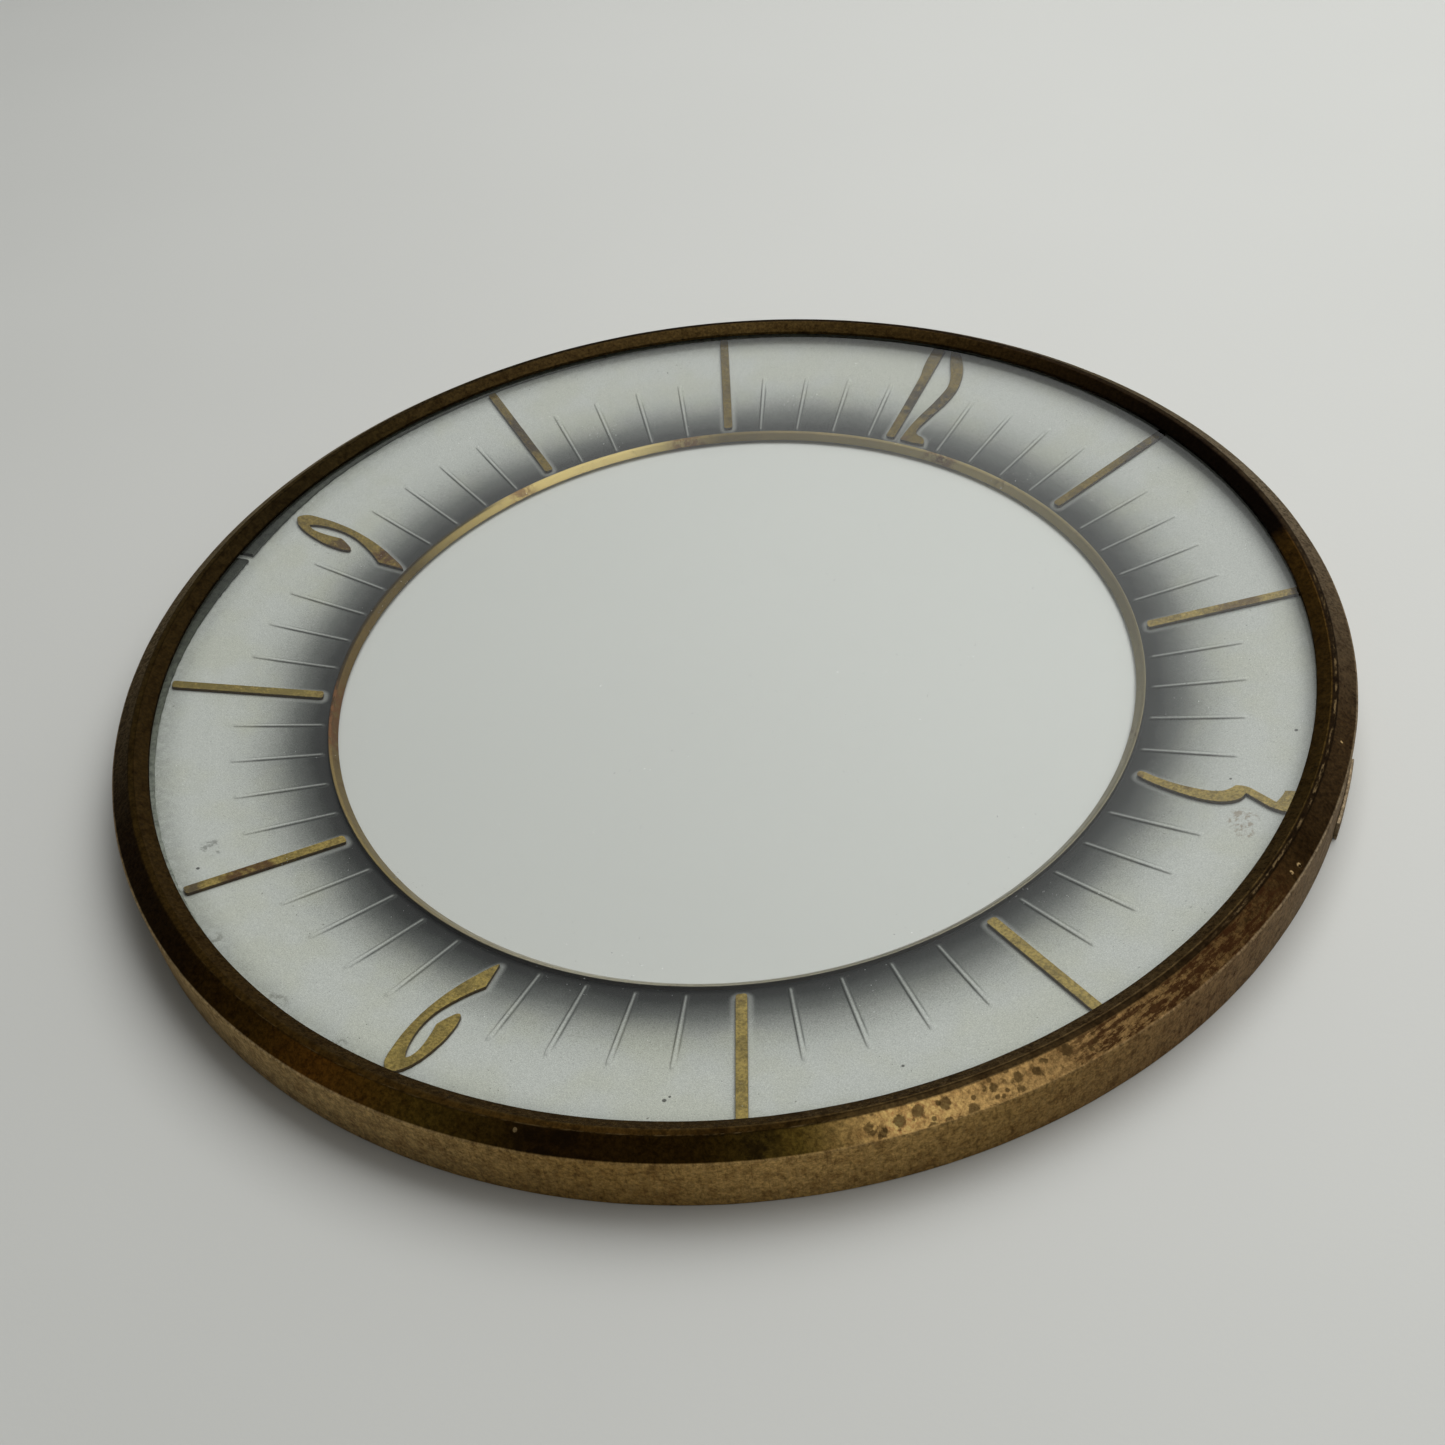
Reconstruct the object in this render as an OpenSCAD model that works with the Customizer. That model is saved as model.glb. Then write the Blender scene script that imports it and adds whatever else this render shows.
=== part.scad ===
// Front of a mantel clock: a brass bezel holding a flat glass, a dished chapter ring with raised
// gilt marks, and the sight ring around its open centre. The assembly lies face up on its rear rim.
// +Z points out of the face, +Y to twelve o'clock and +X to three o'clock. The origin is on the
// bezel's axis, in the plane of the rear rim. Clock angles run clockwise from twelve o'clock.

/* [Bezel] */
// Outer diameter of the skirt
bezel_d = 150; // [145:0.5:170]
// Thickness of the pressed brass
bezel_wall = 0.8; // [0.6:0.1:1]
// Height of the straight skirt
skirt_h = 6.9; // [6.5:0.1:9]
// Width of the outer chamfer
chamfer_w = 2.4; // [1.8:0.1:2.6]
// Rise of the outer chamfer
chamfer_h = 1.45; // [1.2:0.05:1.8]
// Width of the worn flat along the ridge
ridge_w = 0.7; // [0.4:0.1:0.9]
// Width of the slope from the ridge down to the glass
slope_w = 1.4; // [1.2:0.1:1.8]
// Drop of that slope
slope_drop = 0.95; // [0.6:0.05:1]
// Height of the edge that presses on the glass
lip_h = 0.4; // [0.3:0.05:0.6]
// Width of the edge that presses on the glass
lip_w = 0.6; // [0.4:0.1:0.8]

/* [Glass] */
// Thickness of the flat glass
glass_t = 1.5; // [1.2:0.1:1.8]
// Clearance between the glass and the skirt
glass_gap = 1.0; // [0.6:0.1:1.2]

/* [Packing ring] */
// Thickness of the split packing ring behind the glass
packing_t = 0.5; // [0.3:0.1:0.6]
// Gap between the ring's ends
packing_gap = 1.3; // [0.5:0.1:3]
// Clock angle of the gap
packing_at = 261; // [0:1:359]
// How far the loose ends have crept towards the centre
packing_creep = 0.9; // [0:0.1:1]

/* [Chapter ring] */
// Thickness of the pressed sheet
sheet_t = 0.5; // [0.4:0.05:0.6]
// Width of the flat outer flange that the packing ring clamps
flange_w = 2.3; // [1.8:0.1:2.5]
// Angle at which the ring is dished down towards its centre
dish = 11.9; // [10:0.1:12]
// Width of the dished part, along the radius
dish_w = 19.9; // [19.5:0.1:20]

// How far the dial and the packing ring have slipped towards three o'clock
slip_x = 0.7; // [-0.7:0.1:0.7]
// How far they have slipped towards twelve o'clock
slip_y = 0.5; // [-0.7:0.1:0.7]

/* [Marks] */
// Height of the gilt marks above the ring
mark_h = 0.45; // [0.3:0.05:0.6]
// Width of an hour baton
baton_w = 1.2; // [1:0.1:1.6]
// Height of a minute rib
minute_h = 0.15; // [0.1:0.05:0.3]
// Width of a minute rib
minute_w = 0.6; // [0.4:0.1:1]
// Length of a minute rib
minute_len = 10.8; // [6:0.1:14]

/* [Sight ring] */
// Height of the sight ring's outer edge above the dish
sight_rise = 0.7; // [0.4:0.1:1]
// Width of its narrow upper bevel
sight_bevel = 0.4; // [0.3:0.1:0.7]
// Width of its steep inner bevel
sight_slope = 0.7; // [0.6:0.1:1]

/* [Hinge leaf] */
// Clock angle of the middle of the leaf
hinge_at = 84; // [0:1:359]
// Angle that the leaf spans along the skirt
hinge_span = 8; // [6:1:20]
// Thickness of the leaf
hinge_t = 0.4; // [0.3:0.1:0.8]
// Height of the leaf
hinge_h = 2.5; // [2:0.1:5]

/* [Retaining tabs] */
// Number of bent tabs behind the chapter ring
tab_count = 4; // [3:1:8]
// Width of a tab
tab_w = 8; // [5:0.5:12]
// Thickness of a tab
tab_t = 0.6; // [0.4:0.1:0.8]
// How far a tab reaches in behind the flange
tab_reach = 3; // [2:0.1:3]
// Height of the leg soldered to the skirt
tab_leg = 2.4; // [1.5:0.1:3]

/* [Hidden] */
$fn = 180;

// Bezel, from the skirt inwards
bezel_r = bezel_d / 2;
skirt_in_r = bezel_r - bezel_wall;
ridge_r = bezel_r - chamfer_w;
ridge_z = skirt_h + chamfer_h;
slope_r = ridge_r - ridge_w;
opening_r = slope_r - slope_w;
opening_z = ridge_z - slope_drop;

// Stack behind the opening, from the glass down
glass_top = opening_z - lip_h;
glass_bottom = glass_top - glass_t;
flange_top = glass_bottom - packing_t;
glass_r = skirt_in_r - glass_gap;
packing_in_r = opening_r + 0.5;
slip_room = 1.0;
flange_r = skirt_in_r - slip_room;
packing_r = flange_r;

// Dished part of the chapter ring, and the edge that the sight ring is pressed into
dish_out_r = flange_r - flange_w;
dish_in_r = dish_out_r - dish_w;
dish_in_z = flange_top - dish_w * tan(dish);
sight_in_r = dish_in_r - sight_bevel - sight_slope;
sight_bottom = 0.25;
sight_foot = 0.5;

// Marks, measured from the dish's inner edge along the radius. The nine sits further in by its slip.
minute_start = 0.7;
baton_start = 1.3;
baton_len = 18.9;
baton_corner = 0.3;
minute_corner = 0.45;
nine_slip = 1.1;

// Outlines alternate between points on the curve and control points. x runs clockwise and y
// outwards from the dish's inner edge.
ONE = [
    [-2.8, 1.3], [-2.1, 0.9], [-1.5, 1.3], [-1.4, 11], [-1.5, 20],
    [-2.4, 20], [-3.3, 20], [-3.5, 16.4], [-2.9, 14.2], [-2.7, 7]
];
TWO = [
    [-0.5, 20], [0.1, 18.0], [1.1, 16.0], [2.0, 14.1], [1.9, 12.4], [1.6, 10.5], [0.9, 8.0],
    [-0.3, 4.6], [-0.5, 1.1], [1.3, 0.9], [3.1, 1.1], [3.1, 2.3], [2.0, 2.5], [0.8, 2.7], [1.2, 4.3],
    [2.0, 7.0], [2.9, 9.5], [3.6, 12.0], [3.4, 14.0], [3.0, 17.4], [0.9, 20], [0.2, 20]
];
THREE = [
    [-1.8, 20], [0, 20], [1.5, 20], [1.7, 18.2], [1.0, 16.8], [0.3, 15.5], [-0.4, 14.1],
    [0.9, 14.1], [1.4, 12.2], [1.8, 10.6], [1.1, 7.6], [0.6, 5.0], [-0.5, 2.3], [-0.8, 1.6],
    [-1.1, 1.6], [-1.7, 1.6], [-1.5, 2.3], [-0.2, 5.6], [0, 9.2], [0.1, 11.5], [-0.6, 12.1],
    [-0.9, 12.4], [-1.4, 12.7], [-1.6, 13.6], [-1.3, 14.4], [-0.5, 16.0], [0.3, 17.6],
    [-0.7, 18.0], [-1.6, 18.0], [-1.8, 18.8]
];
// The six and the nine are one shape: the tail points to the centre of the clock on both.
HOOK = [
    [-0.8, 20.1], [0.6, 19.8], [0.9, 17.5], [1.5, 15.0], [1.5, 12.0], [1.4, 7.8], [0, 4.0],
    [-0.6, 2.0], [-1.0, 1.7], [-1.4, 3.4], [-1.8, 5.3], [-0.8, 7.0], [-0.1, 9.2], [0.8, 11.8],
    [0.2, 14.6], [-0.3, 16.9], [-1.1, 17.7], [-1.7, 17.2], [-1.5, 15.4], [-1.3, 14.0],
    [-0.8, 12.4], [-1.1, 11.2], [-1.6, 10.2], [-2.1, 9.6], [-2.4, 10.5], [-2.9, 11.9],
    [-2.9, 14.2], [-2.7, 19.2]
];

function bezier(a, c, b, steps) =
    [for (i = [0:steps - 1]) let (t = i / steps) (1 - t) * (1 - t) * a + 2 * t * (1 - t) * c + t * t * b];

function outline(p, steps = 6) =
    [for (k = [0:2:len(p) - 1]) each bezier(p[k], p[k + 1], p[(k + 2) % len(p)], steps)];

// Moves the dial and the packing ring to where they have slipped
module slipped() {
    translate([slip_x, slip_y, 0]) children();
}

// Puts a mark on the dish at a clock angle, with x clockwise and y outwards along the dish
module on_dish(clock) {
    rotate([0, 0, -clock]) translate([0, dish_in_r, dish_in_z]) rotate([dish, 0, 0]) children();
}

// An arc of a turned ring between two clock angles
module arc_ring(from, span) {
    rotate([0, 0, 90 - from - span]) rotate_extrude(angle = span) children();
}

// A bar whose corners are rounded by a share of its width
module rounded_bar(w, len, share) {
    corner = share * w;
    translate([-w / 2, corner]) square([w, len - 2 * corner]);
    translate([corner - w / 2, 0]) square([w - 2 * corner, len]);
    for (x = [corner - w / 2, w / 2 - corner], y = [corner, len - corner])
        translate([x, y]) circle(r = corner, $fn = 24);
}

module numeral(clock, shapes, inwards = 0) {
    slipped() on_dish(clock) translate([0, -inwards, 0])
        linear_extrude(mark_h) for (s = shapes) polygon(outline(s));
}

module bezel() {
    color([0.42, 0.33, 0.18]) rotate_extrude() polygon([
        [skirt_in_r, 0], [bezel_r, 0], [bezel_r, skirt_h], [ridge_r, ridge_z],
        [slope_r, ridge_z], [opening_r, opening_z], [opening_r, glass_top],
        [opening_r + lip_w, glass_top], [slope_r, ridge_z - bezel_wall],
        [ridge_r, ridge_z - bezel_wall], [skirt_in_r, skirt_h - bezel_wall / 2]
    ]);
}

module hinge_leaf() {
    color([0.48, 0.42, 0.33]) arc_ring(hinge_at - hinge_span / 2, hinge_span)
        translate([bezel_r, 0]) square([hinge_t, hinge_h]);
}

module glass() {
    color([0.85, 0.9, 0.88, 0.35]) translate([0, 0, glass_bottom]) cylinder(r = glass_r, h = glass_t);
}

// The packing ring's inner edge bulges inwards beside its gap, where the ends have crept
module packing_ring() {
    half_gap = packing_gap / packing_r * 90 / PI;
    creep_width = 12;
    step = (180 - half_gap) / 120;
    turns = [for (i = [-120:120]) if (i != 0) sign(i) * half_gap + i * step];
    edge = [for (a = turns) [packing_in_r - packing_creep * exp(-pow(a / creep_width, 2)), a]];
    color([0.2, 0.21, 0.2]) slipped() translate([0, 0, flange_top]) rotate([0, 0, 90 - packing_at])
        linear_extrude(packing_t) difference() {
            circle(r = packing_r);
            polygon([for (e = edge) e[0] * [cos(e[1]), sin(e[1])]]);
            translate([0, -packing_gap / 2]) square([bezel_r, packing_gap]);
        }
}

module chapter_ring() {
    color([0.8, 0.81, 0.78]) slipped() {
        rotate_extrude() polygon([
            [dish_in_r, dish_in_z], [dish_out_r, flange_top], [flange_r, flange_top],
            [flange_r, flange_top - sheet_t], [dish_out_r, flange_top - sheet_t],
            [dish_in_r, dish_in_z - sheet_t]
        ]);
        for (m = [0:59]) if (m % 5 != 0)
            on_dish(6 * m) translate([0, minute_start, -sheet_t / 2])
                linear_extrude(minute_h + sheet_t / 2)
                    rounded_bar(minute_w, minute_len, minute_corner);
    }
}

module baton(b) {
    color([0.72, 0.6, 0.32]) slipped() on_dish(30 * b[0])
        translate([b[1], baton_start + baton_len / 2, 0]) rotate([0, 0, -b[2]])
            translate([0, -baton_len / 2, 0])
                linear_extrude(mark_h) rounded_bar(baton_w, baton_len, baton_corner);
}

module numeral_twelve() { color([0.72, 0.6, 0.32]) numeral(0, [ONE, TWO]); }

module numeral_three() { color([0.72, 0.6, 0.32]) numeral(90, [THREE]); }

module numeral_six() { color([0.72, 0.6, 0.32]) numeral(180, [HOOK]); }

module numeral_nine() { color([0.72, 0.6, 0.32]) numeral(270, [HOOK], nine_slip); }

// A turned ring whose outer wall is the joint with the chapter ring's inner edge
module sight_ring() {
    color([0.75, 0.62, 0.3]) slipped() rotate_extrude() polygon([
        [dish_in_r, dish_in_z - sheet_t], [dish_in_r, dish_in_z + sight_rise],
        [dish_in_r - sight_bevel, dish_in_z + sight_rise - sight_bevel / 2],
        [sight_in_r, sight_bottom], [sight_in_r + sight_foot, sight_bottom]
    ]);
}

// Each tab is a leg soldered to the skirt and a foot bent in behind the chapter ring's flange
module retaining_tabs() {
    foot_top = flange_top - sheet_t;
    color([0.45, 0.35, 0.2]) for (k = [0:tab_count - 1]) rotate([0, 0, 45 + 360 / tab_count * k])
        intersection() {
            rotate_extrude() union() {
                translate([skirt_in_r - tab_reach, foot_top - tab_t]) square([tab_reach, tab_t]);
                translate([skirt_in_r - tab_t, foot_top - tab_leg]) square([tab_t, tab_leg]);
            }
            translate([skirt_in_r - tab_reach - 1, -tab_w / 2, 0]) cube([tab_reach + 2, tab_w, skirt_h]);
        }
}

// Each baton's hour, how far clockwise of the hour line it was fixed, and its clockwise lean
BATONS = [
    [1, -0.35, 0], [2, 0, 1], [4, -0.85, 0.5], [5, -0.35, 0],
    [7, 0.1, -2], [8, -0.15, 0], [10, 0.3, 0], [11, 0.65, 0]
];
function baton_name(b) = str("baton_", b[0]);
bezel();
hinge_leaf();
glass();
packing_ring();
chapter_ring();
sight_ring();
numeral_twelve();
numeral_three();
numeral_six();
numeral_nine();
retaining_tabs();
for (b = BATONS) baton(b);
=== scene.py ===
"""The looks of an old mantel clock's front: brass bezel, flat glass and dished chapter ring.

Lengths are in metres. Clock angles run clockwise from twelve o'clock, which is +Y.
"""
import math

import bpy
import numpy as np
from mathutils import Matrix, Vector, noise
from mathutils.bvhtree import BVHTree


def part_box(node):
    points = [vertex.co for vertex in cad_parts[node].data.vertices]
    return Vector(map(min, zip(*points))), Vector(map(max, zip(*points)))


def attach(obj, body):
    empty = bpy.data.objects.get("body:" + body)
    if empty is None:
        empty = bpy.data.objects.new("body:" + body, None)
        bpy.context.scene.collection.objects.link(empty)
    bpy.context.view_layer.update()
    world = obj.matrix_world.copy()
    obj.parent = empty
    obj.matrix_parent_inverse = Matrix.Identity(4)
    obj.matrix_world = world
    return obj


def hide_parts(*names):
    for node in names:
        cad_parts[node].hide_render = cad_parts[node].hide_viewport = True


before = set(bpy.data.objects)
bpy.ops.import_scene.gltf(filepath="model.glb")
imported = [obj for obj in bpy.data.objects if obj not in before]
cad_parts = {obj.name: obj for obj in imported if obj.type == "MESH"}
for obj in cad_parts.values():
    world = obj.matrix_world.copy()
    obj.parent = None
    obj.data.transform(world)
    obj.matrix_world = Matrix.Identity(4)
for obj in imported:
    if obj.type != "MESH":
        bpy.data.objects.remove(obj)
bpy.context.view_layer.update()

MM = 0.001
TAU = 2 * math.pi

# Camera, as the photograph was taken
CAMERA_AZIMUTH = math.radians(34.6)
CAMERA_ELEVATION = math.radians(43.2)
CAMERA_ROLL = math.radians(-7.8)
CAMERA_DISTANCE = 0.2041
CAMERA_TARGET = Vector((0.0041, -0.0079, 0))
CAMERA_LENS = 41.3

# Section of the bezel, and the shallow dents all over it
BEZEL_WALL = 0.8 * MM
CHAMFER_WIDTH = 2.4 * MM
CHAMFER_RISE = 1.45 * MM
RIDGE_WIDTH = 0.7 * MM
SLOPE_WIDTH = 1.4 * MM
SLOPE_DROP = 0.95 * MM
LIP_WIDTH = 0.6 * MM
DENT_DEPTH = 0.05 * MM
DENT_SIZE = 9 * MM

# Sections of the dial and of the sight ring
SHEET = 0.5 * MM
FLANGE_WIDTH = 2.3 * MM
SIGHT_BEVEL = 0.4 * MM
SIGHT_SLOPE = 0.7 * MM
SIGHT_FOOT = 0.5 * MM

# Minute ribs: a rib starts this far from the dish's inner edge, its rounded shoulders reach
# past its width by the foot, and the painted highlight on its crest and the painted shade at its
# sides fade towards its outer end
RIB_START = 0.7 * MM
RIB_LENGTH = 10.8 * MM
RIB_WIDTH = 0.6 * MM
RIB_HEIGHT = 0.15 * MM
RIB_FOOT = 0.06 * MM
RIB_SHOULDER = 0.16 * MM
RIB_CREST = 0.12 * MM
RIB_SIDE_SHADE = 0.1 * MM
RIB_FADE = 3 * MM

# Points of the dial's mesh: how far in millimetres the first columns stand from a minute line,
# how many more are spread over the rest of the way, and how many steps a column has
BESIDE_RIB = [0.0, 0.1, 0.2, 0.26, 0.3, 0.34, 0.42, 0.55, 0.8]
PLAIN_COLUMNS = 7
DISH_STEPS = 90
FLANGE_STEPS = 6

# How far from a point of the dial its nearest gilt mark is looked for
MARK_REACH = 2 * MM

# Split packing ring: its inside radius and its gap, how far its ends have crept inwards and over
# what angle, and how ragged and how pointed its inner edge is
PACKING_INSIDE = 71.0 * MM
PACKING_GAP = 1.3 * MM
PACKING_GAP_AT = math.radians(261)
PACKING_CREEP = 0.9 * MM
PACKING_CREEP_WIDTH = math.radians(12)
PACKING_RAGGED = 0.2 * MM
PACKING_NOSE = 0.12 * MM

MARKS = [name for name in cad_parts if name.startswith(("baton", "numeral"))]

# Nicks in the bezel's chamfer: clock angle in degrees, radius and size in millimetres
NICKS = [(97.2, 74.2, 0.25), (98.3, 74.0, 0.2), (165.8, 73.2, 0.2), (82.5, 73.6, 0.15)]

# Tarnish on the gilt marks: clock angle in degrees, radius and size in millimetres, and colour
TARNISH = [
    (358, 59.8, 3.0, (44, 32, 24)), (2, 59.8, 3.2, (44, 32, 24)), (29.5, 67.5, 4.0, (66, 56, 46)),
    (60, 63.0, 2.5, (96, 74, 44)), (60, 69.5, 1.5, (92, 76, 60)), (210, 70.5, 1.6, (86, 74, 58)),
    (210, 63.5, 3.0, (84, 54, 30)), (240, 62.0, 9.0, (118, 104, 58)),
    (268, 61.0, 1.6, (76, 54, 30)), (269, 53.8, 3.0, (72, 40, 20)), (300, 60.5, 4.5, (48, 34, 24)),
]

# Stains on the dial: clock angle, radius, size and colour
STAINS = [
    (92.8, 65.5, 1.6, (122, 102, 74)), (94.4, 66.4, 1.0, (122, 102, 74)),
    (215, 66.2, 1.3, (92, 94, 88)), (185, 70.4, 1.0, (112, 112, 104)),
    (193, 70.6, 1.4, (112, 112, 104)), (203, 70.6, 1.0, (112, 112, 104)),
]

# Black specks on the dial: clock angle, radius and size
DIAL_SPECKS = [
    (136, 66.0, 0.16), (156.2, 66.6, 0.22), (155.8, 66.1, 0.14), (80, 68.0, 0.2),
    (87.5, 62.5, 0.15), (212.6, 68.4, 0.2), (181, 66.8, 0.15),
]


# ---------------------------------------------------------------- geometry


def largest_radius(node):
    """Half the width of a round CAD node."""
    low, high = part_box(node)
    return (high.x - low.x) / 2


def centre_of(node):
    """Where a CAD node's axis stands on the floor, as (x, y)."""
    low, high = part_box(node)
    return (low.x + high.x) / 2, (low.y + high.y) / 2


def new_piece(name, points, faces, material, replaced):
    """A smooth mesh that rides on the one body and stands for some CAD nodes."""
    mesh = bpy.data.meshes.new(name)
    mesh.from_pydata([tuple(p) for p in points], [], faces)
    mesh.materials.append(material)
    mesh.shade_smooth()
    piece = bpy.data.objects.new(name, mesh)
    bpy.context.scene.collection.objects.link(piece)
    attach(piece, "root")
    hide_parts(*replaced)
    return piece


def grid_faces(columns, rows, wrap_columns=True, wrap_rows=True):
    """Quads of a grid whose point (column, row) has the index column * rows + row."""
    faces = []
    for c in range(columns if wrap_columns else columns - 1):
        for r in range(rows if wrap_rows else rows - 1):
            c2 = (c + 1) % columns
            r2 = (r + 1) % rows
            faces.append((c * rows + r, c * rows + r2, c2 * rows + r2, c2 * rows + r))
    return faces


def rounded(corners):
    """Rounds the corners (radius, height, rounding) of a closed section."""
    steps = 5
    points = []
    count = len(corners)
    for i, (radius, height, rounding) in enumerate(corners):
        here = Vector((radius, height))
        before = (Vector(corners[i - 1][:2]) - here).normalized()
        after = (Vector(corners[(i + 1) % count][:2]) - here).normalized()
        reach = rounding / math.tan(before.angle(after) / 2)
        start = here + before * reach
        end = here + after * reach
        for k in range(steps + 1):
            t = k / steps
            points.append((1 - t) ** 2 * start + 2 * t * (1 - t) * here + t**2 * end)
    return points


def subdivided(section, longest):
    """Adds points to a closed section so that none of its sides is longer than that."""
    points = []
    for i, here in enumerate(section):
        after = section[(i + 1) % len(section)]
        pieces = max(1, math.ceil((after - here).length / longest))
        points += [here.lerp(after, k / pieces) for k in range(pieces)]
    return points


def lathe(section, centre=(0, 0), dents=0.0):
    """Points and faces of a closed section revolved about an upright axis. The section runs
    counter-clockwise, seen with the radius to the right. Dents are this deep at the most."""
    turns = 900
    points = []
    for c in range(turns):
        angle = TAU * c / turns
        for p in section:
            radius = p.x
            if dents:
                place = Vector((p.x * math.sin(angle), p.x * math.cos(angle), p.y * 3))
                radius -= dents * abs(noise.noise(place / DENT_SIZE))
            points.append((
                centre[0] + radius * math.sin(angle), centre[1] + radius * math.cos(angle), p.y
            ))
    return points, grid_faces(turns, len(section))


# ---------------------------------------------------------------- materials


def srgb(red, green, blue):
    """An sRGB colour from 0 to 255 as Blender's linear colour."""
    linear = [((v / 255 + 0.055) / 1.055) ** 2.4 if v > 10 else v / 255 / 12.92
              for v in (red, green, blue)]
    return (*linear, 1)


class Surface:
    """A material's node tree. Its coordinates are millimetres from an upright axis."""

    def __init__(self, name, centre=(0, 0)):
        self.material = bpy.data.materials.new(name)
        self.material.use_nodes = True
        self.tree = self.material.node_tree
        self.tree.nodes.clear()
        place = self.add("ShaderNodeTexCoord", out="Object")
        offset = self.add("ShaderNodeVectorMath", {"operation": "SUBTRACT"},
                          {0: place, 1: (*centre, 0)})
        self.point = self.add("ShaderNodeVectorMath", {"operation": "SCALE"},
                              {0: offset, "Scale": 1 / MM})
        self.x, self.y, self.z = self.axes_of(self.point)
        squares = self.math("ADD", self.math("POWER", self.x, 2), self.math("POWER", self.y, 2))
        self.radius = self.math("SQRT", squares)
        turn = self.math("DIVIDE", self.math("ARCTAN2", self.x, self.y), TAU)
        self.turn = self.math("FRACT", self.math("ADD", turn, 1))

    def add(self, kind, settings=None, inputs=None, out=0):
        """Adds a node and returns one of its outputs. Inputs are values or other outputs."""
        node = self.tree.nodes.new(kind)
        for key, value in (settings or {}).items():
            setattr(node, key, value)
        for key, value in (inputs or {}).items():
            if isinstance(value, bpy.types.NodeSocket):
                self.tree.links.new(value, node.inputs[key])
            else:
                node.inputs[key].default_value = value
        return node.outputs[out]

    def axes_of(self, vector):
        """The three numbers of a vector."""
        node = self.tree.nodes.new("ShaderNodeSeparateXYZ")
        self.tree.links.new(vector, node.inputs[0])
        return node.outputs

    def math(self, operation, a, b=0.0):
        """One step of arithmetic on one or two numbers."""
        return self.add("ShaderNodeMath", {"operation": operation}, {0: a, 1: b})

    def smooth(self, value, low, high):
        """Rises smoothly from 0 at low to 1 at high, or falls if low is the larger."""
        if low > high:
            return self.math("SUBTRACT", 1, self.smooth(value, high, low))
        return self.add("ShaderNodeMapRange", {"interpolation_type": "SMOOTHSTEP"},
                        {"Value": value, "From Min": low, "From Max": high})

    def band(self, value, low, high, soft):
        """1 between low and high, with soft edges."""
        return self.math("MULTIPLY", self.smooth(value, low - soft, low + soft),
                         self.smooth(value, high + soft, high - soft))

    def all_of(self, *masks):
        """1 only where all of the masks are 1."""
        result = masks[0]
        for mask in masks[1:]:
            result = self.math("MULTIPLY", result, mask)
        return result

    def clock_band(self, start, end, soft):
        """1 between two clock angles in degrees, with soft edges."""
        return self.band(self.turn, start / 360, end / 360, soft / 360)

    def spot(self, clock, radius, size):
        """1 within about size millimetres of the place at a clock angle and radius."""
        angle = math.radians(clock)
        place = (radius * math.sin(angle), radius * math.cos(angle), 0)
        away = self.add("ShaderNodeVectorMath", {"operation": "DISTANCE"},
                        {0: self.stretched(1, 1, 0), 1: place}, out="Value")
        return self.smooth(away, 1.25 * size, 0.75 * size)

    def stretched(self, x, y, z):
        """Coordinates that grow this many times as fast along each axis."""
        return self.add("ShaderNodeVectorMath", {"operation": "MULTIPLY"},
                        {0: self.point, 1: (x, y, z)})

    def around(self, across, along):
        """Coordinates that make a texture run in long streaks round the axis."""
        section = self.add("ShaderNodeCombineXYZ", None, {
            0: self.math("MULTIPLY", self.radius, across),
            2: self.math("MULTIPLY", self.z, across),
        })
        return self.add("ShaderNodeVectorMath", {"operation": "ADD"},
                        {0: section, 1: self.stretched(along, along, along)})

    def noise(self, size, detail=4.0, roughness=0.55, vector=None):
        """Noise from 0 to 1 whose features are about size millimetres across."""
        return self.add("ShaderNodeTexNoise", None, {
            "Vector": vector or self.point, "Scale": 1 / size, "Detail": detail,
            "Roughness": roughness,
        })

    def mix(self, factor, a, b, blend="MIX"):
        """Colour a turned into b, or blended with it, by a factor from 0 to 1."""
        return self.add("ShaderNodeMix", {"data_type": "RGBA", "blend_type": blend},
                        {0: factor, 6: a, 7: b}, out=2)

    def ramp(self, value, stops):
        """A colour ramp through stops of (position, colour)."""
        node = self.tree.nodes.new("ShaderNodeValToRGB")
        elements = node.color_ramp.elements
        while len(elements) < len(stops):
            elements.new(0.5)
        for element, (position, colour) in zip(elements, stops):
            element.position = position
            element.color = colour
        self.tree.links.new(value, node.inputs[0])
        return node.outputs[0]

    def by_clock(self, stops):
        """A colour that changes round the axis, through stops of (clock degrees, colour)."""
        first, last = stops[0], stops[-1]
        share = first[0] / (first[0] + 360 - last[0])
        meet = [a + (b - a) * (1 - share) for a, b in zip(last[1], first[1])]
        closed = [(0, meet), *stops, (360, meet)]
        return self.ramp(self.turn, [(clock / 360, colour) for clock, colour in closed])

    def bump(self, height, distance, normal=None):
        """A bump whose full height is distance millimetres."""
        inputs = {"Height": height, "Distance": distance * MM, "Strength": 1.0}
        if normal:
            inputs["Normal"] = normal
        return self.add("ShaderNodeBump", None, inputs)

    def finish(self, **sockets):
        """Adds the Principled shader and the output, and returns the material. Underscores in a
        socket's name stand for spaces."""
        inputs = {key.replace("_", " "): value for key, value in sockets.items()}
        shader = self.add("ShaderNodeBsdfPrincipled", None, inputs)
        output = self.tree.nodes.new("ShaderNodeOutputMaterial")
        self.tree.links.new(shader, output.inputs["Surface"])
        return self.material


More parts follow.
